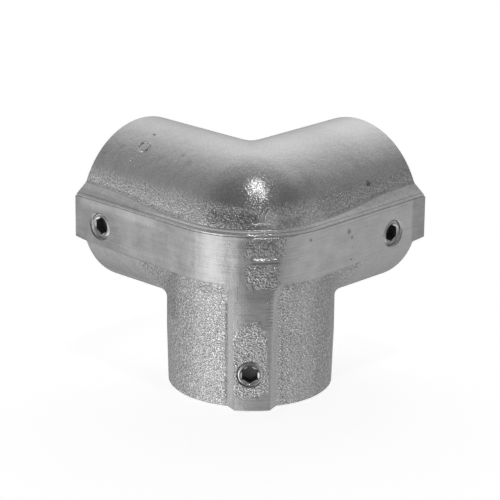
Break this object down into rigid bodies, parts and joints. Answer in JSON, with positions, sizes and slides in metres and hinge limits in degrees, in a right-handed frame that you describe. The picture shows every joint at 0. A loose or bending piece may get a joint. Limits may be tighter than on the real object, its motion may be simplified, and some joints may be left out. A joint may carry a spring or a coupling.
{
  "type": "three way corner connector",
  "caption": "Cast corner fitting that joins an upright tube to two level tubes at right angles, each tube held in its socket by a hexagon socket set screw.",
  "frame": {"origin": "centre of the post socket's rim, where the upright tube enters", "axes": "-Z is the way the upright tube leaves its socket; +X and +Y are the ways the two rail tubes leave theirs; the raised pads with the set screws face -X and -Y, and the post's pad faces the diagonal between them"},
  "size_m": [0.0905, 0.0905, 0.0873],
  "materials": {
    "casting": "sand cast, with the pads ground and brushed",
    "x_rail_set_screw": "zinc plated",
    "y_rail_set_screw": "zinc plated",
    "post_set_screw": "zinc plated"
  },
  "bodies": {
    "corner_body": {"corner_body": "casting"},
    "x_rail_set_screw": {"x_rail_set_screw": "x_rail_set_screw"},
    "y_rail_set_screw": {"y_rail_set_screw": "y_rail_set_screw"},
    "post_set_screw": {"post_set_screw": "post_set_screw"}
  },
  "joints": [
    {"name": "x_rail_screw_travel", "type": "slide", "parent": "corner_body", "child": "x_rail_set_screw", "axis": [0, -1, 0], "range_m": [-0.003, 0.006]},
    {"name": "y_rail_screw_travel", "type": "slide", "parent": "corner_body", "child": "y_rail_set_screw", "axis": [-1, 0, 0], "range_m": [-0.003, 0.006]},
    {"name": "post_screw_travel", "type": "slide", "parent": "corner_body", "child": "post_set_screw", "axis": [-0.7071, -0.7071, 0], "range_m": [-0.003, 0.006]}
  ]
}
